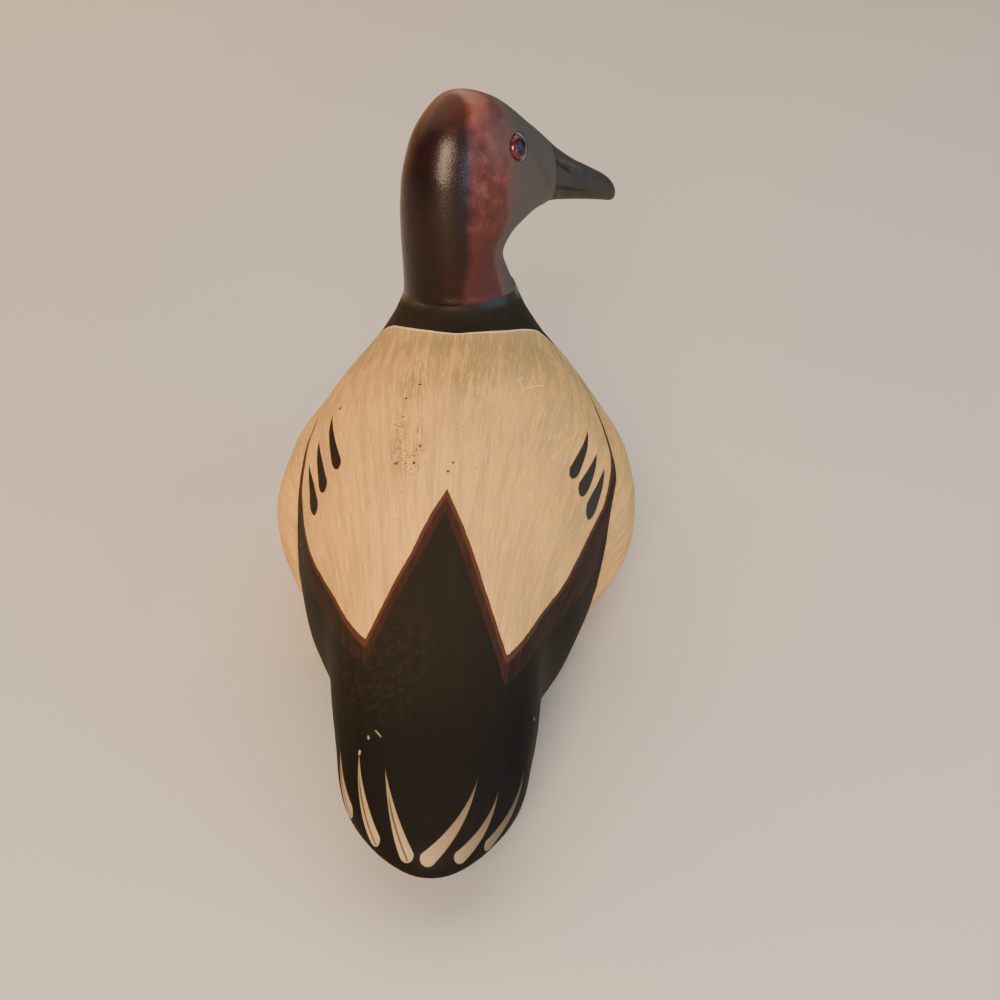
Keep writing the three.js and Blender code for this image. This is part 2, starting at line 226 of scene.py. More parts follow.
class PaintColours(bpy.types.PropertyGroup):
    """The paints on the carving and in the eyes."""

    def colour(name, description, *display):
        return FloatVectorProperty(
            name=name, description=description, subtype="COLOR", min=0, max=1, default=linear(*display),
        )

    cream: colour("Cream", "Back, wings and flanks", 229, 175, 93)
    # Also the painted highlight along the cream's front edge
    cream_light: colour("Light cream", "Brushed highlights, paint ridges and scratches", 252, 232, 190)
    cream_pink: colour("Pink cream", "Faintly pinker patches of the cream", 224, 162, 104)
    # Also painted shade on the cream of the bird's right side
    cream_worn_and_shaded: colour("Worn cream", "Where the cream is brushed thin", 146, 130, 92)
    black: colour("Black", "Breast, rump and tail", 14, 12, 9)
    border: colour("Border", "Brown band round the cream feathers", 48, 29, 23)
    border_light: colour("Border light", "Thin line along the inner side of the band", 90, 56, 42)
    stroke: colour("Wing stroke", "Dark strokes on the wings", 9, 11, 11)
    tail_stroke: colour("Tail stroke", "Pale strokes on the tail", 176, 154, 116)
    # A shaded copy of the chestnut: painted shade low on the back of the neck
    chestnut_painted_shade: colour("Dark chestnut", "Lower back of the neck", 20, 8, 6)
    chestnut: colour("Chestnut", "Back of the head and neck", 32, 13, 12)
    # Also painted shade low on the cheeks
    cheek_dark: colour("Dark cheek", "Darker, redder paint in the cheeks", 60, 25, 22)
    # Also painted light on the crown
    cheek_light: colour("Light cheek", "Rubbed, lighter spots on the cheeks", 146, 94, 78)
    face_warm: colour("Warm face", "Where the face paint thins over the chestnut", 80, 60, 54)
    # A lit copy of the chestnut: painted light on the head's sides
    cheek: colour("Cheek", "Lighter, redder cheeks and neck sides", 92, 48, 41)
    face: colour("Face", "Front of the head", 67, 66, 63)
    bill: colour("Bill", "Bill", 40, 39, 36)
    iris: colour("Iris", "Painted iris of the glass eye", 120, 6, 50)
    speck: colour("Speck", "Dark pits in the cream", 34, 24, 17)
    stain: colour("Stain", "Olive dirt in the brush marks of the cream", 108, 98, 66)
    dust: colour("Dust", "Pale flecks on the black", 190, 170, 130)


class StageSettings(bpy.types.PropertyGroup):
    """The camera's place and the floor's colour."""

    camera_place: FloatVectorProperty(
        name="Camera place", description="Where the camera stands", subtype="TRANSLATION",
        default=(-0.0226, 0.431, 0.261),
    )
    camera_azimuth: FloatProperty(
        name="Camera azimuth", description="Direction of the camera round the decoy",
        default=math.radians(181.19), subtype="ANGLE",
    )
    camera_elevation: FloatProperty(
        name="Camera elevation", description="Angle of the view above the horizon",
        default=math.radians(27.4), subtype="ANGLE",
    )
    lens: FloatProperty(
        name="Lens", description="Focal length in millimetres", default=57.6,
    )
    floor: FloatVectorProperty(
        name="Floor", description="Colour of the plain floor", subtype="COLOR", default=(0.62, 0.59, 0.55),
    )


# Meshes


def select_nothing():
    """Goes back to object mode and clears the selection."""
    if bpy.context.object and bpy.context.object.mode != "OBJECT":
        bpy.ops.object.mode_set(mode="OBJECT")
    bpy.ops.object.select_all(action="DESELECT")


def select_only(piece):
    """Makes one object the active and the only selected one, in object mode."""
    select_nothing()
    piece.hide_set(False)
    piece.select_set(True)
    bpy.context.view_layer.objects.active = piece


def new_piece(name, add, **settings):
    """Adds a primitive with nothing else selected, and names it."""
    select_nothing()
    add(**settings)
    piece = bpy.context.object
    piece.name = name
    piece.data.name = name
    return piece


def copy_of_node(node, name):
    """A copy of a CAD node with its own merged mesh, ready to be refined."""
    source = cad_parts[node]
    piece = bpy.data.objects.new(name, source.data.copy())
    piece.data.name = name
    piece.data.materials.clear()
    bpy.context.scene.collection.objects.link(piece)
    select_only(piece)
    bpy.ops.object.mode_set(mode="EDIT")
    bpy.ops.mesh.select_all(action="SELECT")
    bpy.ops.mesh.remove_doubles(threshold=0.01 * MM)
    bpy.ops.mesh.tris_convert_to_quads(face_threshold=math.pi, shape_threshold=math.pi)
    bpy.ops.object.mode_set(mode="OBJECT")
    bpy.ops.mesh.customdata_custom_splitnormals_clear()
    return piece


def crease_rim(piece, height, amount):
    """Creases the rim of the flat face at this height in millimetres, so that subdivision keeps it crisp."""
    mesh = bmesh.new()
    mesh.from_mesh(piece.data)
    layer = mesh.edges.layers.float.get("crease_edge") or mesh.edges.layers.float.new("crease_edge")
    for edge in mesh.edges:
        flat = [all(abs(v.co.z / MM - height) < 0.02 for v in face.verts) for face in edge.link_faces]
        if len(flat) == 2 and flat[0] != flat[1]:
            edge[layer] = amount
    mesh.to_mesh(piece.data)
    mesh.free()


def apply_modifier(piece, kind, **settings):
    """Adds a modifier with these settings and applies it."""
    select_only(piece)
    modifier = piece.modifiers.new(kind.title(), kind)
    for name, value in settings.items():
        setattr(modifier, name, value)
    bpy.ops.object.modifier_apply(modifier=modifier.name)


def turn_towards(piece, direction):
    """Turns an object so that its +Z points this way."""
    piece.rotation_mode = "QUATERNION"
    piece.rotation_quaternion = direction.to_track_quat("Z", "Y")


def read_vectors(collection, name):
    """A vector from each member of a mesh collection, one a row."""
    values = np.empty(len(collection) * 3)
    collection.foreach_get(name, values)
    return values.reshape(-1, 3)


def points_of(piece):
    """The piece's points, in millimetres."""
    return read_vectors(piece.data.vertices, "co") / MM


def normals_of(piece):
    """The piece's point normals."""
    return read_vectors(piece.data.vertex_normals, "vector")


def move_points(piece, points):
    """Puts the piece's points at these places, in millimetres."""
    piece.data.vertices.foreach_set("co", (points * MM).ravel())
    piece.data.update()


def store(piece, name, values):
    """Keeps one number for each point on the mesh, for the paint to read."""
    layer = piece.data.attributes.new(name, "FLOAT", "POINT")
    layer.data.foreach_set("value", np.asarray(values, np.float32))


def unevenness(points, size, seed):
    """A smooth random value from 0 to 1 at each point, with features of this size in millimetres."""
    shift = Vector((seed, seed * 0.7, seed * 1.3))
    values = np.array([noise.noise(Vector(point) / size + shift) for point in points])
    return np.clip(values * 0.8 + 0.5, 0, 1)


def finish_piece(piece, material, slot, *nodes, angle=40):
    """Shades a piece, paints it and ties it to the frame."""
    select_only(piece)
    bpy.ops.object.shade_smooth_by_angle(angle=math.radians(angle))
    piece.data.materials.clear()
    piece.data.materials.append(material)
    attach(piece, "root")
    if nodes:
        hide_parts(*nodes)


# Body


def body_fields(points):
    """Signed distances in millimetres from each point of the body to the painted lines."""
    side_view = points[:, 1:]
    left = points[:, 0] > 0

    def by_side(lines, sign=1):
        values = {side: sign * distance_to_line(side_view, line) for side, line in lines.items()}
        return np.where(left, values["left"], values["right"])

    x, y, z = points.T
    degrees = np.degrees(np.arctan2(np.abs(x), z - BREAST_AXIS_Z))
    angles = np.array(BREAST_EDGE)[:, 0]
    breast_edge = spline(BREAST_EDGE, np.interp(degrees, angles, np.arange(len(angles))))[:, 1]
    plan = points[:, :2]
    return {
        "wing_edge": by_side(WING_EDGE),
        "cream_low": by_side(CREAM_LOW),
        "border_low": by_side(BORDER_LOW),
        "notch_left": -distance_to_line(plan, NOTCH["left"]),
        "notch_right": distance_to_line(plan, NOTCH["right"]),
        "breast_edge": y - breast_edge,
    }


def seat_distance(points):
    """Distance outwards from the neck seat's oval edge, in millimetres."""
    seat_long, seat_wide = 18.0, 16.8
    forward, aside, _ = to_head(points).T
    return (np.hypot(forward / seat_long, aside / seat_wide) - 1) * seat_wide


def carve_body(sizes):
    """Refines the body: a smooth skin, the cut under the wings, the neck's fillet and faint tool marks."""
    body = copy_of_node("body", "body_carving")
    crease_rim(body, 0, 0.85)
    crease_rim(body, SEAT_HEIGHT, 1.0)
    apply_modifier(body, "SUBSURF", levels=2, render_levels=2)

    points = points_of(body)
    normals = normals_of(body)
    fields = body_fields(points)
    side = smoothstep(points[:, 1], -55, -25) * (1 - smoothstep(points[:, 1], 28, 42))
    cut_below_edge, cut_width = 2.2, 1.5
    cut = bump(-fields["wing_edge"] - cut_below_edge, cut_width) * side
    marks = unevenness(points, 13, 3.0) * 0.7 + unevenness(points, 5, 8.0) * 0.3
    above_floor = smoothstep(points[:, 2], 0.5, 6)
    inwards = cut * sizes.wing_undercut / MM + marks * above_floor * sizes.tool_marks / MM
    out = seat_distance(points)
    near_top = points[:, 2] > SEAT_HEIGHT - 12
    fillet_reach = 3.2
    collar = np.where(near_top, np.clip(1 - np.abs(out - 0.1) / fillet_reach, 0, 1) ** 1.5, 0)
    points = points - normals * (inwards * (1 - collar))[:, None]
    points[:, 2] += collar * sizes.paint_fillet / MM
    points[:, 2] = np.maximum(points[:, 2], 0)
    move_points(body, points)
    for name, values in body_fields(points).items():
        store(body, name, values)
    store(body, "collar", out)
    store(body, "round", round_the_body(points))
    return body


def round_the_body(points):
    """Millimetres round the body from the top of its back, so that brush streaks follow the skin."""
    stations, back_height, typical_radius = 40, 78, 45
    x, y, z = points.T
    edges = np.linspace(y.min(), y.max(), stations + 1)
    bins = np.clip(np.digitize(y, edges) - 1, 0, stations - 1)
    middles = (edges[:-1] + edges[1:]) / 2
    half_widths = np.array([np.abs(x[bins == place]).max() for place in range(stations)])
    heights = np.minimum([z[bins == place].max() for place in range(stations)], back_height)
    window = np.ones(9) / 9
    wide = np.interp(y, middles, np.convolve(np.pad(half_widths, 4, "edge"), window, "valid"))
    high = np.interp(y, middles, np.convolve(np.pad(heights, 4, "edge"), window, "valid"))
    return np.arctan2(x / wide, np.maximum(z / high, 0)) * typical_radius


# Head


def head_point(place, angle):
    """Points of the head's skin: place is counted in ribs, angle runs round from the back of the head."""
    back_u, back_z, front_u, front_z, half, bow = spline(HEAD_RIBS, place).T
    fullness = 0.035
    along = np.cos(angle) * (1 + fullness * np.sin(angle) ** 2)
    across = np.sin(angle) * (1 + fullness * np.cos(angle) ** 2)
    forward = (back_u + front_u) / 2 + (back_u - front_u) / 2 * along - bow * across**2
    up = (back_z + front_z) / 2 + (back_z - front_z) / 2 * along
    return forward, half * across, up


def near_segment(points, start, end):
    """Distance from points in a plane to a straight stretch."""
    start, end = np.array(start), np.array(end)
    run = end - start
    share = np.clip((points - start) @ run / (run @ run), 0, 1)
    return np.linalg.norm(points - start - share[:, None] * run, axis=1)


def bump(distance, width):
    """1 on a line, falling smoothly to 0 at about twice the width."""
    return np.exp(-((distance / width) ** 2))


def carve_head(sizes):
    """Builds the head from its ribs, carves bill, nostrils and eye rims, and cuts the eye sockets."""
    around, rings = sizes.around, sizes.rings
    head = new_piece(
        "head_carving", bpy.ops.mesh.primitive_grid_add, x_subdivisions=around, y_subdivisions=rings, size=1,
    )
    grid = points_of(head) * MM + 0.5
    dense = np.linspace(0, len(HEAD_RIBS) - 1, 600)
    outline = spline(HEAD_RIBS, dense)[:, :4]
    travel = np.concatenate(([0], np.cumsum(np.linalg.norm(np.diff(outline, axis=0), axis=1))))
    place = np.interp(grid[:, 1] * travel[-1], travel, dense)
    forward, aside, up = head_point(place, grid[:, 0] * 2 * math.pi)
    foot = grid[:, 1] < 1e-6
    up = np.where(foot, -0.2, up)
    move_points(head, np.stack(from_head(forward, aside, up), axis=1))
    close_ends(head)
    carve_head_details(head, sizes)
    for side in SIDES.values():
        cutter = eye_bead("socket_cutter", side, 0.15)
        apply_modifier(head, "BOOLEAN", operation="DIFFERENCE", solver="EXACT", object=cutter)
        bpy.data.objects.remove(cutter)
    points = points_of(head)
    local = to_head(points)
    profile = local[:, (0, 2)]
    for name, line in (("face_edge", FACE_EDGE), ("bill_edge", BILL_EDGE), ("cheek_edge", CHEEK_EDGE)):
        store(head, name, -distance_to_line(profile, line))
    for name, values in zip(("eye_rim", "eye_behind"), eye_distance(local)):
        store(head, name, values)
    return head


def close_ends(head):
    """Joins the seam, fills both ends and turns the faces outwards."""
    select_only(head)
    bpy.ops.object.mode_set(mode="EDIT")
    bpy.ops.mesh.select_all(action="SELECT")
    bpy.ops.mesh.remove_doubles(threshold=0.001 * MM)
    bpy.ops.mesh.select_all(action="DESELECT")
    bpy.ops.mesh.select_mode(type="EDGE")
    bpy.ops.mesh.select_non_manifold()
    bpy.ops.mesh.fill()
    bpy.ops.mesh.select_all(action="SELECT")
    bpy.ops.mesh.normals_make_consistent(inside=False)
    bpy.ops.object.mode_set(mode="OBJECT")


def eye_distance(local):
    """Distance of points in the head's frame from the nearer eye's axis, and how far behind it they lie."""
    mirrored = local.copy()
    mirrored[:, 1] = np.abs(mirrored[:, 1])
    offset = mirrored - np.array(EYE_PLACE)
    depth = offset @ np.array(EYE_FACING)
    from_axis = np.linalg.norm(offset - depth[:, None] * np.array(EYE_FACING), axis=1)
    return np.where(np.abs(depth) < 5, from_axis, 99), -offset[:, 0]


def carve_head_details(head, sizes):
    """Moves the head's points along their normals: bill step, nostrils, mouth line, eye rims, tool marks."""
    points = points_of(head)
    normals = normals_of(head)
    local = to_head(points)
    profile = local[:, (0, 2)]
    beside = smoothstep(np.abs(local[:, 1]), 1.5, 3.2)
    on_bill = -distance_to_line(profile, BILL_EDGE)
    side_of_bill = smoothstep(on_bill, -0.3, 0.3) * beside
    step = side_of_bill * (0.45 + 0.55 * bump(on_bill - 0.5, 0.7)) * (1 - smoothstep(on_bill, 1.5, 9))
    nostril = bump(near_segment(profile, (36.4, 35.7), (41, 32.2)), 0.7) * beside
    ridge = bump(near_segment(profile, (39, 35.1), (46.8, 30.9)), 0.8) * beside
    mouth = bump(near_segment(profile, (34, 28.2), (40, 25.8)), 0.6)
    tipwards = 1 - 0.85 * smoothstep(local[:, 0], 42, 51)
    front_mouth = bump(near_segment(profile, (40, 25.8), (63, 19.6)), 0.5) * tipwards
    mouth = np.maximum(mouth, front_mouth) * side_of_bill
    lip = bump(near_segment(profile, (35.5, 29.4), (47, 24.9)), 0.7) * side_of_bill
    rim, behind = eye_distance(local)
    roll = bump(local[:, 2] - 1.2, 1.1) * (1 - smoothstep(local[:, 1], -4, 4))
    lid = bump(rim - 4.75, 0.75) * (0.25 + 0.75 * smoothstep(behind, -1, 3)) - 0.3 * bump(rim - 6.4, 1)
    marks = unevenness(points, 11, 5.0) * 0.7 + unevenness(points, 4, 9.0) * 0.3
    inwards = (
        step * sizes.bill_step
        + (nostril - 0.45 * ridge) * sizes.nostril_depth
        + (mouth - 0.4 * lip) * sizes.mouth_depth
        + marks * smoothstep(local[:, 2], 0.5, 4) * sizes.tool_marks * 0.7
        - lid * sizes.lid_height
        - roll * sizes.neck_roll
    ) / MM
    move_points(head, points - normals * inwards[:, None])
    # Ridges and grooves of the bill, for its painted highlights and painted shade
    store(head, "bill_lines", 0.9 * ridge + 0.4 * lip - nostril - mouth)


# Eyes


def place_in_eye(piece, side):
    """Turns and moves a piece made round the origin, facing +Z, into the eye on that side."""
    facing = Vector((EYE_FACING.x, EYE_FACING.y * side, EYE_FACING.z))
    middle = Vector((EYE_PLACE.x, EYE_PLACE.y * side, EYE_PLACE.z)) - facing * EYE_SET
    origin = Vector(from_head(0, 0, 0))
    turn_towards(piece, Vector(from_head(*facing)) - origin)
    piece.location = Vector(from_head(*middle)) * MM
    select_only(piece)
    bpy.ops.object.transform_apply(location=True, rotation=True, scale=True)


def eye_bead(name, side, gap=0.0):
    """A flattened glass bead in the eye's place, or its socket with a gap round it."""
    radius, half_depth = EYE_RADIUS + gap, EYE_HALF_DEPTH + gap
    bead = new_piece(
        name, bpy.ops.mesh.primitive_uv_sphere_add, segments=64, ring_count=32, radius=radius * MM,
    )
    bead.scale = (1, 1, half_depth / radius)
    place_in_eye(bead, side)
    return bead


def iris_plate(name, side):
    """The painted iris and pupil, a dome inside the glass."""
    plate = new_piece(
        name, bpy.ops.mesh.primitive_circle_add, vertices=64, radius=IRIS_RADIUS * MM, fill_type="TRIFAN",
    )
    bpy.ops.object.mode_set(mode="EDIT")
    bpy.ops.mesh.select_all(action="SELECT")
    bpy.ops.mesh.subdivide(number_cuts=12)
    bpy.ops.object.mode_set(mode="OBJECT")
    points = points_of(plate)
    from_axis = np.hypot(points[:, 0], points[:, 1])
    points[:, 2] = 0.1 + IRIS_RISE * (1 - (from_axis / IRIS_RADIUS) ** 2)
    move_points(plate, points)
    store(plate, "from_axis", from_axis)
    store(plate, "from_pupil", np.hypot(points[:, 0] + side * PUPIL_OFFSET, points[:, 1]))
    apply_modifier(plate, "SOLIDIFY", thickness=0.2 * MM, offset=-1)
    place_in_eye(plate, side)
    return plate


# Paint

LEFTWARDS, TAILWARDS, UP = (1, 0, 0), (0, 1, 0), (0, 0, 1)


class Value:
    """A shader socket. Arithmetic on it adds Math nodes to its paint."""

    def __init__(self, paint, socket):
        self.paint = paint
        self.socket = socket

    def math(self, operation, *values):
        sockets = dict(enumerate(values))
        return self.paint.node("Math", {"operation": operation}, sockets)

    def __add__(self, other):
        return self.math("ADD", self, other)

    def __sub__(self, other):
        return self.math("SUBTRACT", self, other)

    def __rsub__(self, other):
        return self.math("SUBTRACT", other, self)

    def __mul__(self, other):
        return self.math("MULTIPLY", self, other)

    def __truediv__(self, other):
        return self.math("DIVIDE", self, other)

    def __pow__(self, other):
        return self.math("POWER", self, other)

    def __neg__(self):
        return self.math("MULTIPLY", self, -1)

    def __abs__(self):
        return self.math("ABSOLUTE", self)

    __radd__ = __add__
    __rmul__ = __mul__

    def least(self, other):
        return self.math("MINIMUM", self, other)

    def most(self, other):
        return self.math("MAXIMUM", self, other)

    def above(self, edge, softness):
        """0 to 1 across an edge, over this softness."""
        return self.paint.node(
            "MapRange", {"interpolation_type": "SMOOTHSTEP"},
            {"Value": self, "From Min": edge - softness / 2, "From Max": edge + softness / 2},
        )


class Paint:
    """One painted finish: a material whose colour, gloss and relief are worked out by nodes."""

    def __init__(self, name, **constants):
        self.material = bpy.data.materials.new(name)
        self.material.use_nodes = True
        self.tree = self.material.node_tree
        self.shader = self.tree.nodes["Principled BSDF"]
        for socket, value in constants.items():
            self.shader.inputs[socket.replace("_", " ")].default_value = value
        self.coordinates = self.node("TexCoord", output="Object")
        self.place = self.vector("SCALE", self.coordinates, Scale=1 / MM)

    def feed(self, socket, value):
        if isinstance(value, Value):
            self.tree.links.new(value.socket, socket)
        elif isinstance(value, (int, float)):
            socket.default_value = value
        else:
            value = tuple(value)
            socket.default_value = value + (1.0,) if socket.type == "RGBA" and len(value) == 3 else value

    def node(self, kind, settings=None, sockets=None, output=0):
        """Adds a node, sets its settings and then its sockets, and returns one of its outputs."""
        node = self.tree.nodes.new("ShaderNode" + kind)
        for name, value in (settings or {}).items():
            setattr(node, name, value)
        for name, value in (sockets or {}).items():
            self.feed(node.inputs[name], value)
        return Value(self, node.outputs[output])

    def vector(self, operation, *values, output=0, **sockets):
        inputs = {**dict(enumerate(values)), **sockets}
        return self.node("VectorMath", {"operation": operation}, inputs, output)

    def dot(self, one, other):
        return self.vector("DOT_PRODUCT", one, other, output="Value")

    def mix(self, factor, one, other, blend="MIX"):
        """Colour one where the factor is 0, the other where it is 1."""
        return self.node("Mix", {"data_type": "RGBA", "blend_type": blend}, {0: factor, 6: one, 7: other}, 2)

    def along(self, direction):
        """How far the point lies along a direction from the origin, in millimetres."""
        return self.dot(self.place, direction)

    def field(self, name):
        return self.node("Attribute", {"attribute_name": name}, output="Fac")

    def noise(self, size, stretch=(1, 1, 1), detail=3.0, seed=0.0, roughness=0.55, place=None):
        """Smooth noise from 0 to 1 with features of this size in millimetres, stretched along the axes."""
        scale = tuple(1 / (size * share) for share in stretch)
        place = place or self.place
        place = self.node("Mapping", None, {"Vector": place, "Scale": scale, "Location": (seed,) * 3})
        return self.node(
            "TexNoise", None, {"Vector": place, "Scale": 1.0, "Detail": detail, "Roughness": roughness},
        )

    def spots(self, spacing, radius, chance, seed=0.0):
        """Scattered round spots: 1 inside a spot. Chance is the share of places that have one."""
        scale = (1 / spacing,) * 3
        place = self.node("Mapping", None, {"Vector": self.place, "Scale": scale, "Location": (seed,) * 3})
        cells = {"Vector": place, "Scale": 1.0, "Randomness": 1.0}
        distance = self.node("TexVoronoi", None, cells, "Distance")
        colour = Value(self, distance.socket.node.outputs["Color"])
        draw = self.node("SeparateColor", None, {"Color": colour}, "Red")
        return (1 - distance.above(radius / spacing, 0.5 * radius / spacing)) * (1 - draw.above(chance, 0.01))

    def finish(self, colour, roughness, relief=None, height=0.1):
        """Feeds the shader. Relief runs from 0 to 1 over this height in millimetres."""
        self.feed(self.shader.inputs["Base Color"], colour)
        self.feed(self.shader.inputs["Roughness"], roughness)
        if relief is not None:
            bumped = self.node("Bump", None, {"Height": relief, "Distance": height * MM, "Strength": 1.0})
            self.feed(self.shader.inputs["Normal"], bumped)
        return self.material


def teardrop(paint, start, end, facing, radius, bend, taper, stretch=1.0, skew=0.0):
    """A brush stroke from a thin point to a rounded end: how deep inside, the share along it, how far across.

    The stretch makes its end longer than round, and the skew slants it.
    """
    start, end, facing = Vector(start), Vector(end), Vector(facing)
    along = end - start
    length = along.length - radius * stretch
    along.normalize()
    aside = facing.cross(along).normalized()
    outwards = along.cross(aside)
    offset = paint.vector("SUBTRACT", paint.place, start)
    forward = paint.dot(offset, along + aside * skew)
    share = (forward / length).most(0).least(1)
    across = paint.dot(offset, aside) - share * (1 - share) * (4 * bend)
    beyond = (forward - share * length) / stretch
    depth = abs(paint.dot(offset, outwards)) - STROKE_REACH
    distance = (across * across + beyond * beyond) ** 0.5 - radius * share**taper
    return -distance.most(depth), share, across


# How far above and below its place on the skin a stroke still paints, in millimetres.
STROKE_REACH = 7
# Start, round end, the way the skin faces there, radius and sideways bend of each stroke.
WING_STROKES = (
    ((35.7, 0.3, 66.2), (31.2, 31.6, 63.0), (0.68, 0.1, 0.72), 1.9, -0.6),
    ((39.2, 9.0, 61.8), (35.1, 35.0, 57.4), (0.78, 0.2, 0.59), 2.15, -0.5),
    ((42.0, 14.5, 56.6), (37.5, 39.0, 52.6), (0.78, 0.26, 0.57), 2.3, -0.4),
    ((-39.6, 4.4, 63.2), (-34.6, 28.2, 59.1), (-0.75, 0.18, 0.63), 2.0, 0.5),
    ((-42.3, 10.0, 58.6), (-37.3, 29.9, 54.4), (-0.82, 0.25, 0.5), 2.3, 0.5),
    ((-44.7, 11.0, 54.2), (-39.5, 32.3, 48.3), (-0.86, 0.28, 0.42), 2.6, 0.5),
)
TAIL_STROKES = (
    ((22.5, 115.3, 28.7), (19.5, 129.6, 19.4), (0.85, 0.4, 0.35), 2.3, -0.1),
    ((17.6, 119.8, 32.0), (12.4, 138.3, 18.2), (0.58, 0.62, 0.53), 1.8, -0.6),
    ((10.9, 125.6, 31.2), (4.5, 143.2, 17.7), (0.26, 0.74, 0.62), 1.75, -0.6),
    ((-11.1, 127.3, 29.9), (0.9, 143.9, 17.4), (-0.06, 0.75, 0.66), 1.9, 1.7),
    ((-16.1, 128.1, 27.0), (-6.7, 142.6, 17.2), (-0.38, 0.76, 0.52), 1.65, 1.2),
    ((-22.1, 119.3, 27.0), (-13.3, 137.7, 16.9), (-0.8, 0.5, 0.32), 1.7, 1.1),
)
# Scratches in the back's paint and scuffs on the rump: start, end and half width.
SCRATCHES = (
    ((-20.9, 3.0, 76.0), (-26.6, -5.0, 73.5), 0.32),
    ((-19.5, -1.3, 76.7), (-20.5, 4.0, 76.0), 0.26),
    ((-20.5, 4.0, 76.0), (-20.4, 9.4, 75.6), 0.22),
    ((-23.4, -7.8, 75.1), (-24.4, -4.0, 74.7), 0.36),
    ((-25.0, -8.5, 74.3), (-25.9, -6.5, 73.8), 0.26),
    ((-18.2, 0.7, 77.1), (-20.4, -3.5, 76.4), 0.28),
)
SCUFFS = (
    ((13.8, 117.0, 35.8), (12.4, 118.7, 35.3), 0.26),
    ((17.5, 120.1, 31.9), (17.5, 120.6, 31.6), 0.36),
    ((-24.5, 104.2, 30.7), (-24.5, 104.4, 30.6), 0.36),
    ((42.7, 32.7, 39.6), (42.7, 33.0, 39.5), 0.34),
    ((15.6, 117.6, 34.6), (15.4, 118.1, 34.2), 0.26),
)
# Dark pits in the back's paint, given in the same way, and the places where small ones crowd together.
PITS = (
    ((9.6, 6.9, 78.5), (9.0, 7.2, 78.6), 0.36),
    ((12.9, 13.4, 77.0), (12.9, 13.7, 77.0), 0.42),
    ((7.6, 36.4, 73.6), (7.4, 37.4, 73.2), 0.42),
    ((13.7, 42.0, 70.5), (13.7, 42.3, 70.4), 0.48),
    ((8.8, 43.0, 71.2), (8.6, 43.6, 71.1), 0.4),
    ((9.9, 38.2, 72.9), (9.9, 38.5, 72.8), 0.42),
    ((-1.9, 43.4, 71.6), (-1.9, 43.7, 71.5), 0.42),
    ((-0.7, 46.7, 70.6), (-0.7, 47.0, 70.5), 0.46),
    ((33.8, 0.0, 68.2), (33.4, 1.2, 67.8), 0.6),
)
PIT_CROWDS = (
    ((7.6, 33.0, 74.4), (1.6, 9.0, 6.0)),
    ((12.8, 37.0, 72.5), (2.6, 10.0, 6.0)),
    ((14.0, 24.0, 75.0), (2.2, 6.0, 6.0)),
    ((9.0, 43.0, 71.2), (3.0, 5.0, 6.0)),
)
# Where dirt has settled in the brush marks, given in the same way.
STAINS = (
    ((10.5, 6.0, 78.0), (6.0, 16.0, 12.0)),
    ((-5.5, 4.0, 78.5), (7.0, 13.0, 12.0)),
    ((10.5, 36.0, 73.0), (6.0, 14.0, 12.0)),
)


def largest(values):
    """The largest of several shader values."""
    return functools.reduce(Value.most, values)


def within(paint, places):
    """1 inside any of these soft-edged ovals, each given by its middle and its reach along the axes."""
    insides = []
    for middle, reach in places:
        offset = paint.vector("DIVIDE", paint.vector("SUBTRACT", paint.place, middle), reach)
        insides.append(1 - paint.vector("LENGTH", offset, output="Value").above(0.9, 0.5))
    return largest(insides)


def marks(paint, places):
    """1 on short straight marks, each given by its two ends and its half width."""
    insides = []
    for start, end, half_width in places:
        start, end = Vector(start), Vector(end)
        offset = paint.vector("SUBTRACT", paint.place, start)
        share = (paint.dot(offset, (end - start) / (end - start).length_squared)).most(0).least(1)
        nearest = paint.vector("SCALE", tuple(end - start), Scale=share)
        distance = paint.vector("LENGTH", paint.vector("SUBTRACT", offset, nearest), output="Value")
        insides.append(half_width - distance)
    return largest(insides).above(0, 0.25)


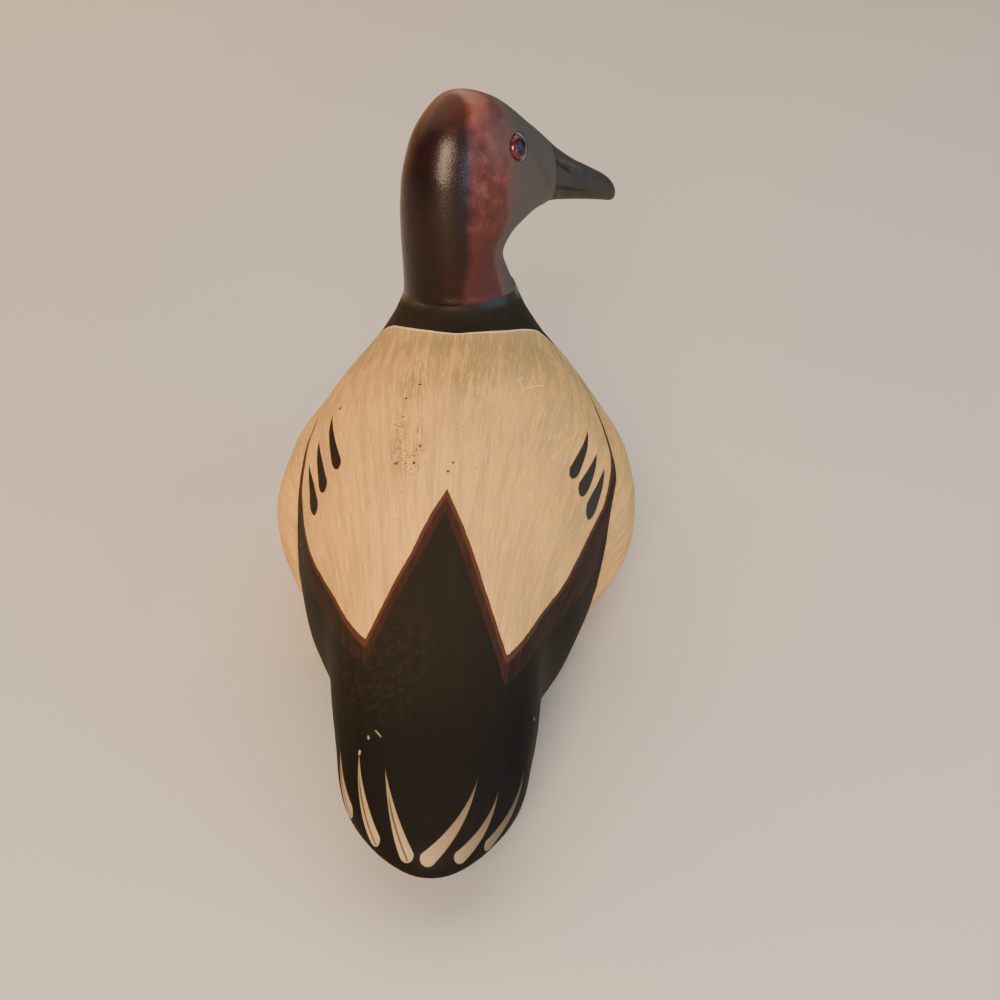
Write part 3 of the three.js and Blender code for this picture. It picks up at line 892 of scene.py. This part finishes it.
def body_paint(colours):
    """Brushed cream, black and brown paints in a drake's pattern, with strokes, pits and scuffs."""
    paint = Paint("body_paint", Specular_IOR_Level=0.12, Coat_Roughness=0.26)
    wobble = (paint.noise(6, detail=4, seed=2) - 0.5) * 0.7
    breast = paint.field("breast_edge") + wobble
    on_breast = (-breast).above(0, 0.3)
    on_flank = (-paint.field("wing_edge") - wobble * 0.5).above(0, 0.35) * (1 - on_breast)
    notch = paint.field("notch_left").most(paint.field("notch_right"))
    cream_low = paint.field("cream_low")
    cream_side = cream_low.least(notch) + wobble
    border_side = paint.field("border_low").least(notch + BORDER_WIDTH) + wobble * 0.8
    on_cream = cream_side.above(0, 0.25).most(on_flank) * (1 - on_breast)

    # Cream, brushed along the body, with dirt, pits and scratches, painted shade on the bird's right and a
    # painted highlight along its front edge
    skin = paint.node("CombineXYZ", None, {"X": paint.field("round"), "Y": paint.along(TAILWARDS)})
    streaks = paint.noise(1.5, (1, 22, 1), detail=3, seed=1, place=skin)
    broad = paint.noise(6, (1, 5, 1), detail=4, seed=4, place=skin)
    fine = paint.noise(0.5, (1, 14, 1), detail=3, seed=9, place=skin)
    grit = paint.noise(0.6, detail=2, seed=12)
    cloud = paint.noise(15, (1, 2, 1), detail=3, seed=6)
    near_collar = 1 - breast.above(24, 56)
    # 1 on the bird's right, where the paints are made greyer and cooler: painted shade on the cream and the
    # pale tail strokes, painted light on the dark wing strokes
    right_side_painted_light = 1 - paint.along(LEFTWARDS).above(-4, 34)
    worn = (streaks * 0.9 + broad * 0.7 + near_collar * 0.14 - 0.68).above(0.14, 0.26)
    cream = paint.mix(worn * (0.46 + near_collar * 0.38), colours.cream, colours.cream_worn_and_shaded)
    cream = paint.mix(right_side_painted_light * 0.2, cream, colours.cream_worn_and_shaded)
    cream = paint.mix(cloud.above(0.52, 0.4) * 0.22, cream, colours.cream_pink)
    cream = paint.mix(fine.above(0.6, 0.25) * 0.24, cream, colours.cream_worn_and_shaded)
    cream = paint.mix((1 - fine).above(0.62, 0.2) * 0.25, cream, colours.cream_light)
    cream = paint.mix(grit.above(0.6, 0.2) * 0.2, cream, colours.cream_worn_and_shaded)
    # A painted highlight along the paint ridge at the cream's front edge
    edge_ridge_highlight = 1 - abs(breast - 0.5).above(0.45, 0.4)
    cream = paint.mix(edge_ridge_highlight * 0.5, cream, colours.cream_light)
    stained = (streaks * 0.8 + fine * 0.7).above(0.78, 0.22) * within(paint, STAINS)
    cream = paint.mix(stained * 0.34, cream, colours.stain)
    crowded = within(paint, PIT_CROWDS)
    pits = paint.spots(1.0, 0.27, 0.66, seed=3) * crowded
    pits = pits.most(paint.spots(0.8, 0.2, 0.45, seed=7) * crowded)
    pits = pits.most(paint.spots(2.9, 0.26, 0.14, seed=5) * 0.7).most(marks(paint, PITS))
    cream = paint.mix(pits * 0.88, cream, colours.speck)
    cream = paint.mix(marks(paint, SCRATCHES) * 0.4, cream, colours.cream_light)

    # Black, dusty on the rump and a little paler on top
    brushed = paint.noise(1.4, (1, 22, 1), detail=3, seed=11, place=skin)
    black = paint.mix(brushed.above(0.6, 0.4) * 0.04, colours.black, colours.face)
    dusty = 1 - paint.vector("DISTANCE", paint.place, (16, 100, 43), output="Value").above(15, 20)
    dust = paint.spots(1.3, 0.14, 0.3, seed=13) * dusty * 0.1
    haze = paint.noise(2, detail=3, seed=15).above(0.55, 0.3) * dusty * 0.015
    top = paint.along(UP).above(42, 26) * 0.018
    black = paint.mix(dust + haze + top, black, colours.dust)
    black = paint.mix(marks(paint, SCUFFS) * 0.65, black, colours.dust)

    # The brown border with its lighter inner line
    inner_line = 1 - abs(cream_side + 0.6).above(0.5, 0.5)
    outer = (notch - cream_low).above(0, 4)
    border = paint.mix(outer * 0.7, colours.border, black)
    border = paint.mix(brushed.above(0.55, 0.4) * 0.2, border, colours.border_light)
    border = paint.mix(inner_line * 0.6, border, colours.border_light)

    colour = paint.mix(border_side.above(0, 0.4), black, border)
    colour = paint.mix(on_cream, colour, cream)

    # Dark strokes on the wings and pale ones on the tail, greyer on the bird's right: painted cool light on
    # the dark strokes and painted shade on the pale ones
    strokes = []
    for stroke in WING_STROKES:
        skew = math.copysign(0.7, -stroke[0][0])
        strokes.append(teardrop(paint, *stroke, 0.8, stretch=2.5, skew=skew)[0])
    stroke_mask = (largest(strokes) + (fine - 0.5) * 0.3).above(0.05, 0.35)
    colour = paint.mix(stroke_mask, colour, paint.mix(right_side_painted_light * 0.42, colours.stroke, colours.face))

    covers, shafts = [], []
    for number, stroke in enumerate(TAIL_STROKES):
        inside, share, across = teardrop(paint, *stroke, 1.05)
        bristles = paint.node(
            "TexNoise", {"noise_dimensions": "1D"}, {"W": across * 3, "Scale": 1, "Detail": 2},
        )
        covers.append(inside.above(0.05, 0.3) * (0.55 + share * 0.45) * (0.6 + bristles * 0.6).least(1))
        if number < 3:
            shaft = (0.26 - abs(across + 0.25)).above(0, 0.25) * share.above(0.3, 0.2)
            shafts.append(shaft * inside.above(0.3, 0.3))
    tail = largest(covers)
    # Greyer on the bird's right: painted shade
    stroke_colour = paint.mix(right_side_painted_light * 0.8, colours.tail_stroke, colours.face)
    stroke_colour = paint.mix(largest(shafts) * 0.75, stroke_colour, colours.border)
    colour = paint.mix(tail, colour, stroke_colour)
    colour = paint.mix(on_breast, colour, black)

    # A glossier ring at the foot of the neck
    by_collar = (1 - paint.field("collar").above(1.3, 1.4)) * on_breast
    paint.feed(paint.shader.inputs["Coat Weight"], by_collar * 0.6)
    roughness = 0.66 + (streaks - 0.5) * 0.12 - by_collar * 0.16 - stroke_mask * 0.1
    relief = streaks * 0.4 + fine * 0.2 + grit * 0.35
    return paint.finish(colour, roughness, relief, 0.08)


def head_paint(colours):
    """Glossy mottled chestnut, a matt grey-brown face and a dark bill."""
    paint = Paint("head_paint", Specular_IOR_Level=0.28)
    wobble = (paint.noise(9, detail=3, seed=3) - 0.5) * 6
    face_edge = paint.field("face_edge") + wobble
    bill_edge = paint.field("bill_edge")
    cheek_edge = paint.field("cheek_edge") + wobble * 0.5

    mottle = paint.noise(8, detail=4, seed=2)
    soft = paint.noise(4.5, detail=3, seed=8)
    grain = paint.noise(0.5, (1, 1, 1.4), detail=2, seed=6)
    # Back of the neck and crown, darker low down: painted shade
    low = 1 - (paint.along(UP) + wobble * 2).above(132, 26)
    chestnut = paint.mix(low * 0.85, colours.chestnut, colours.chestnut_painted_shade)
    chestnut = paint.mix(mottle.above(0.5, 0.4) * 0.15, chestnut, colours.cheek_dark)
    # Cheeks: the head's sides painted lighter and redder than its back, painted light on the same chestnut;
    # darker low down, painted shade; rubbed lighter in spots
    high = (paint.along(UP) + wobble).above(112, 24)
    cheek = paint.mix((mottle * 0.6 + soft * 0.5).above(0.55, 0.5), colours.cheek_dark, colours.cheek)
    cheek = paint.mix(high * 0.75 + 0.25, colours.cheek_dark, cheek)
    cheek = paint.mix((soft * 0.9 + grain * 0.1).above(0.62, 0.4) * high * 0.36, cheek, colours.cheek_light)
    # A painted pool of light on the crown, and a greyer patch behind the eye
    crown = (paint.along(UP) + wobble).above(143, 10)
    chestnut = paint.mix(crown * 0.4, chestnut, colours.cheek)
    near_edge = 1 - cheek_edge.above(7, 6)
    cheek = paint.mix(crown * near_edge * 0.5, cheek, colours.cheek_light)
    by_eye = (1 - abs(paint.along(UP) + wobble - 135).above(7, 8)) * (1 - near_edge)
    cheek = paint.mix(by_eye * 0.6, cheek, colours.face_warm)
    # The painted-light sides against the darker back
    on_cheek = cheek_edge.above(0.3, 3.4)
    colour = paint.mix(on_cheek, chestnut, cheek)
    # Face and bill
    face = paint.mix(soft.above(0.5, 0.6) * 0.2, colours.face, colours.cheek_dark)
    face = paint.mix(face_edge.above(3, 7), colours.face_warm, face)
    colour = paint.mix(face_edge.above(0, 2.6), colour, face)
    bill = paint.mix(soft.above(0.55, 0.4) * 0.2, colours.bill, colours.face)
    # Painted highlights on the bill's ridges, painted shade in the nostrils and the mouth line, and a painted
    # shadow along the bill's base
    lines = paint.field("bill_lines")
    bill = paint.mix(lines.above(0.5, 0.6) * 0.35, bill, colours.face)
    bill = paint.mix((-lines).above(0.45, 0.6) * 0.6, bill, colours.black)
    bill = paint.mix((1 - abs(bill_edge - 0.5).above(0.5, 0.7)) * 0.5, bill, colours.black)
    bill = paint.mix((1 - bill_edge.above(5, 8)) * 0.22, bill, colours.face)
    colour = paint.mix(bill_edge.above(0, 0.4), colour, bill)
    # Painted shade round the eyes, in the gap behind each eye and in a ring before it, and a painted glint on
    # the rim before each eye
    rim = paint.field("eye_rim")
    before_eye = (-paint.field("eye_behind")).above(0.6, 2)
    socket_shade = (1 - rim.above(4.35, 0.5)) * (1 - before_eye)
    socket_shade = socket_shade.most((1 - abs(rim - 4.7).above(0.2, 0.3)) * before_eye)
    rim_glint = (1 - rim.above(4.4, 0.25)) * before_eye
    colour = paint.mix(socket_shade * 0.75, colour, colours.black)
    colour = paint.mix(rim_glint * 0.6, colour, RIM_GLINT_COLOUR)

    matt = face_edge.above(0, 4)
    roughness = 0.29 + cheek_edge.above(5, 11) * 0.1 + matt * 0.18 + (grain - 0.5) * 0.02
    relief = grain + soft * 0.4
    return paint.finish(colour, roughness, relief, 0.07)


def iris_paint(colours):
    """A crimson iris with a darker rim round a black pupil."""
    paint = Paint("iris_paint", Specular_IOR_Level=0.15)
    from_axis = paint.field("from_axis")
    rays = paint.noise(0.5, detail=3, seed=4)
    dark_red = tuple(0.35 * share for share in colours.iris)
    colour = paint.mix((rays - 0.5).above(0, 0.4) * 0.4, colours.iris, dark_red)
    colour = paint.mix(from_axis.above(3.35, 0.4) * 0.7, colour, dark_red)
    colour = paint.mix(1 - paint.field("from_pupil").above(PUPIL_RADIUS, 0.15), colour, PUPIL_BLACK)
    return paint.finish(colour, 0.45 + rays * 0.1)


def eye_glass():
    """Clear polished glass."""
    paint = Paint("eye_glass", Transmission_Weight=1.0, IOR=1.45, Roughness=0.02)
    paint.shader.inputs["Base Color"].default_value = (1, 1, 1, 1)
    return paint.material


def floor_finish(colour):
    """A plain pale floor with the faintest unevenness."""
    paint = Paint("floor_finish")
    shade = paint.noise(60, detail=3)
    tint = paint.mix(shade.above(0.5, 1) * 0.12, colour, tuple(0.9 * share for share in colour))
    return paint.finish(tint, 0.6)


# Operators: one for each piece or group of like pieces, and one for the stage


class CarveBody(bpy.types.Operator):
    """Refine and paint the body"""

    bl_idname = "decoy.carve_body"
    bl_label = "Carve Body"

    def execute(self, context):
        scene = context.scene
        body = carve_body(scene.decoy_sizes)
        finish_piece(body, body_paint(scene.decoy_colours), "body_paint", "body", angle=50)
        return {"FINISHED"}


class CarveHead(bpy.types.Operator):
    """Build, carve and paint the head"""

    bl_idname = "decoy.carve_head"
    bl_label = "Carve Head"

    def execute(self, context):
        scene = context.scene
        head = carve_head(scene.decoy_sizes)
        finish_piece(head, head_paint(scene.decoy_colours), "head_paint", "head", angle=50)
        return {"FINISHED"}


class SetEyes(bpy.types.Operator):
    """Make both glass eyes and the painted irises inside them"""

    bl_idname = "decoy.set_eyes"
    bl_label = "Set Eyes"

    def execute(self, context):
        glass = eye_glass()
        iris = iris_paint(context.scene.decoy_colours)
        for name, side in SIDES.items():
            finish_piece(eye_bead(f"eye_glass_{name}", side), glass, "eye_glass", f"eye_{name}")
            finish_piece(iris_plate(f"iris_{name}", side), iris, "eye_glass")
        return {"FINISHED"}


class SetStage(bpy.types.Operator):
    """Lay the floor, hang the soft lights and place the camera"""

    bl_idname = "decoy.set_stage"
    bl_label = "Set Stage"

    def execute(self, context):
        settings = context.scene.decoy_stage
        floor = new_piece("floor", bpy.ops.mesh.primitive_plane_add, size=40)
        floor.data.materials.append(floor_finish(tuple(settings.floor)))
        add_lights()
        add_camera(settings)
        return {"FINISHED"}


def outward(azimuth, elevation):
    """The direction from the decoy to something at this azimuth and elevation, with azimuth 0 towards the
    breast (-Y) and 90 towards the bird's left (+X).
    """
    flat = math.cos(elevation)
    return Vector((math.sin(azimuth) * flat, -math.cos(azimuth) * flat, math.sin(elevation)))


# Each light's name, azimuth and elevation in degrees, distance, width and height in metres, watts, colour.
LIGHTS = (
    ("warm_window", 176, 22, 1.2, 0.42, 0.55, 23.0, (1.0, 0.72, 0.47)),
    ("cool_window", 219, 10, 1.2, 0.12, 0.28, 2.0, (0.6, 0.74, 1.0)),
    ("ceiling", 40, 66, 1.7, 3.0, 3.0, 35.0, (1.0, 0.82, 0.58)),
    ("left_fill", 44, 18, 1.4, 1.8, 1.3, 7.0, (1.0, 0.4, 0.08)),
    ("right_fill", 254, 18, 1.5, 2.0, 1.6, 15.0, (0.36, 0.68, 1.0)),
    ("front_fill", 338, 46, 1.6, 1.5, 1.2, 4.0, (1.0, 0.88, 0.72)),
)


def add_lights():
    """Two small lights behind, a wide one overhead, warm and cool fills at the sides and one in front."""
    aim = Vector((0, 0, 0.06))
    for name, azimuth, elevation, distance, width, height, watts, colour in LIGHTS:
        direction = outward(math.radians(azimuth), math.radians(elevation))
        bpy.ops.object.light_add(type="AREA", location=aim + direction * distance)
        light = bpy.context.object
        light.name = name
        turn_towards(light, direction)
        light.data.shape = "RECTANGLE"
        light.data.size = width
        light.data.size_y = height
        light.data.energy = watts
        light.data.color = colour
    world = bpy.data.worlds.new("surround")
    bpy.context.scene.world = world
    world.use_nodes = True
    surround = world.node_tree.nodes["Background"]
    surround.inputs["Color"].default_value = (0.86, 0.86, 0.86, 1)
    surround.inputs["Strength"].default_value = 0.22


def add_camera(settings):
    """A camera at the angle of the photograph."""
    direction = outward(settings.camera_azimuth, settings.camera_elevation)
    bpy.ops.object.camera_add(location=settings.camera_place)
    camera = bpy.context.object
    camera.name = "camera"
    turn_towards(camera, direction)
    camera.data.lens = settings.lens
    camera.data.sensor_width = 36
    camera.data.clip_start = 0.01
    bpy.context.scene.camera = camera


OPERATORS = (CarveBody, CarveHead, SetEyes, SetStage)


class DecoyPanel(bpy.types.Panel):
    """The decoy's steps, sizes and colours"""

    bl_idname = "VIEW3D_PT_decoy"
    bl_label = "Duck Decoy"
    bl_space_type = "VIEW_3D"
    bl_region_type = "UI"
    bl_category = "Decoy"

    def draw(self, context):
        for operator in OPERATORS:
            self.layout.operator(operator.bl_idname)
        for settings in (context.scene.decoy_sizes, context.scene.decoy_colours, context.scene.decoy_stage):
            box = self.layout.box()
            for name in settings.bl_rna.properties.keys():
                if name not in ("rna_type", "name"):
                    box.prop(settings, name)


GROUPS = {"decoy_sizes": CarvingSizes, "decoy_colours": PaintColours, "decoy_stage": StageSettings}
CLASSES = (*GROUPS.values(), *OPERATORS, DecoyPanel)


def register():
    for each in CLASSES:
        bpy.utils.register_class(each)
    for name, group in GROUPS.items():
        setattr(bpy.types.Scene, name, PointerProperty(type=group))


def unregister():
    for name in GROUPS:
        delattr(bpy.types.Scene, name)
    for each in reversed(CLASSES):
        bpy.utils.unregister_class(each)


def main():
    register()
    bpy.ops.decoy.carve_body()
    bpy.ops.decoy.carve_head()
    bpy.ops.decoy.set_eyes()
    bpy.ops.decoy.set_stage()


if __name__ == "__main__":
    main()
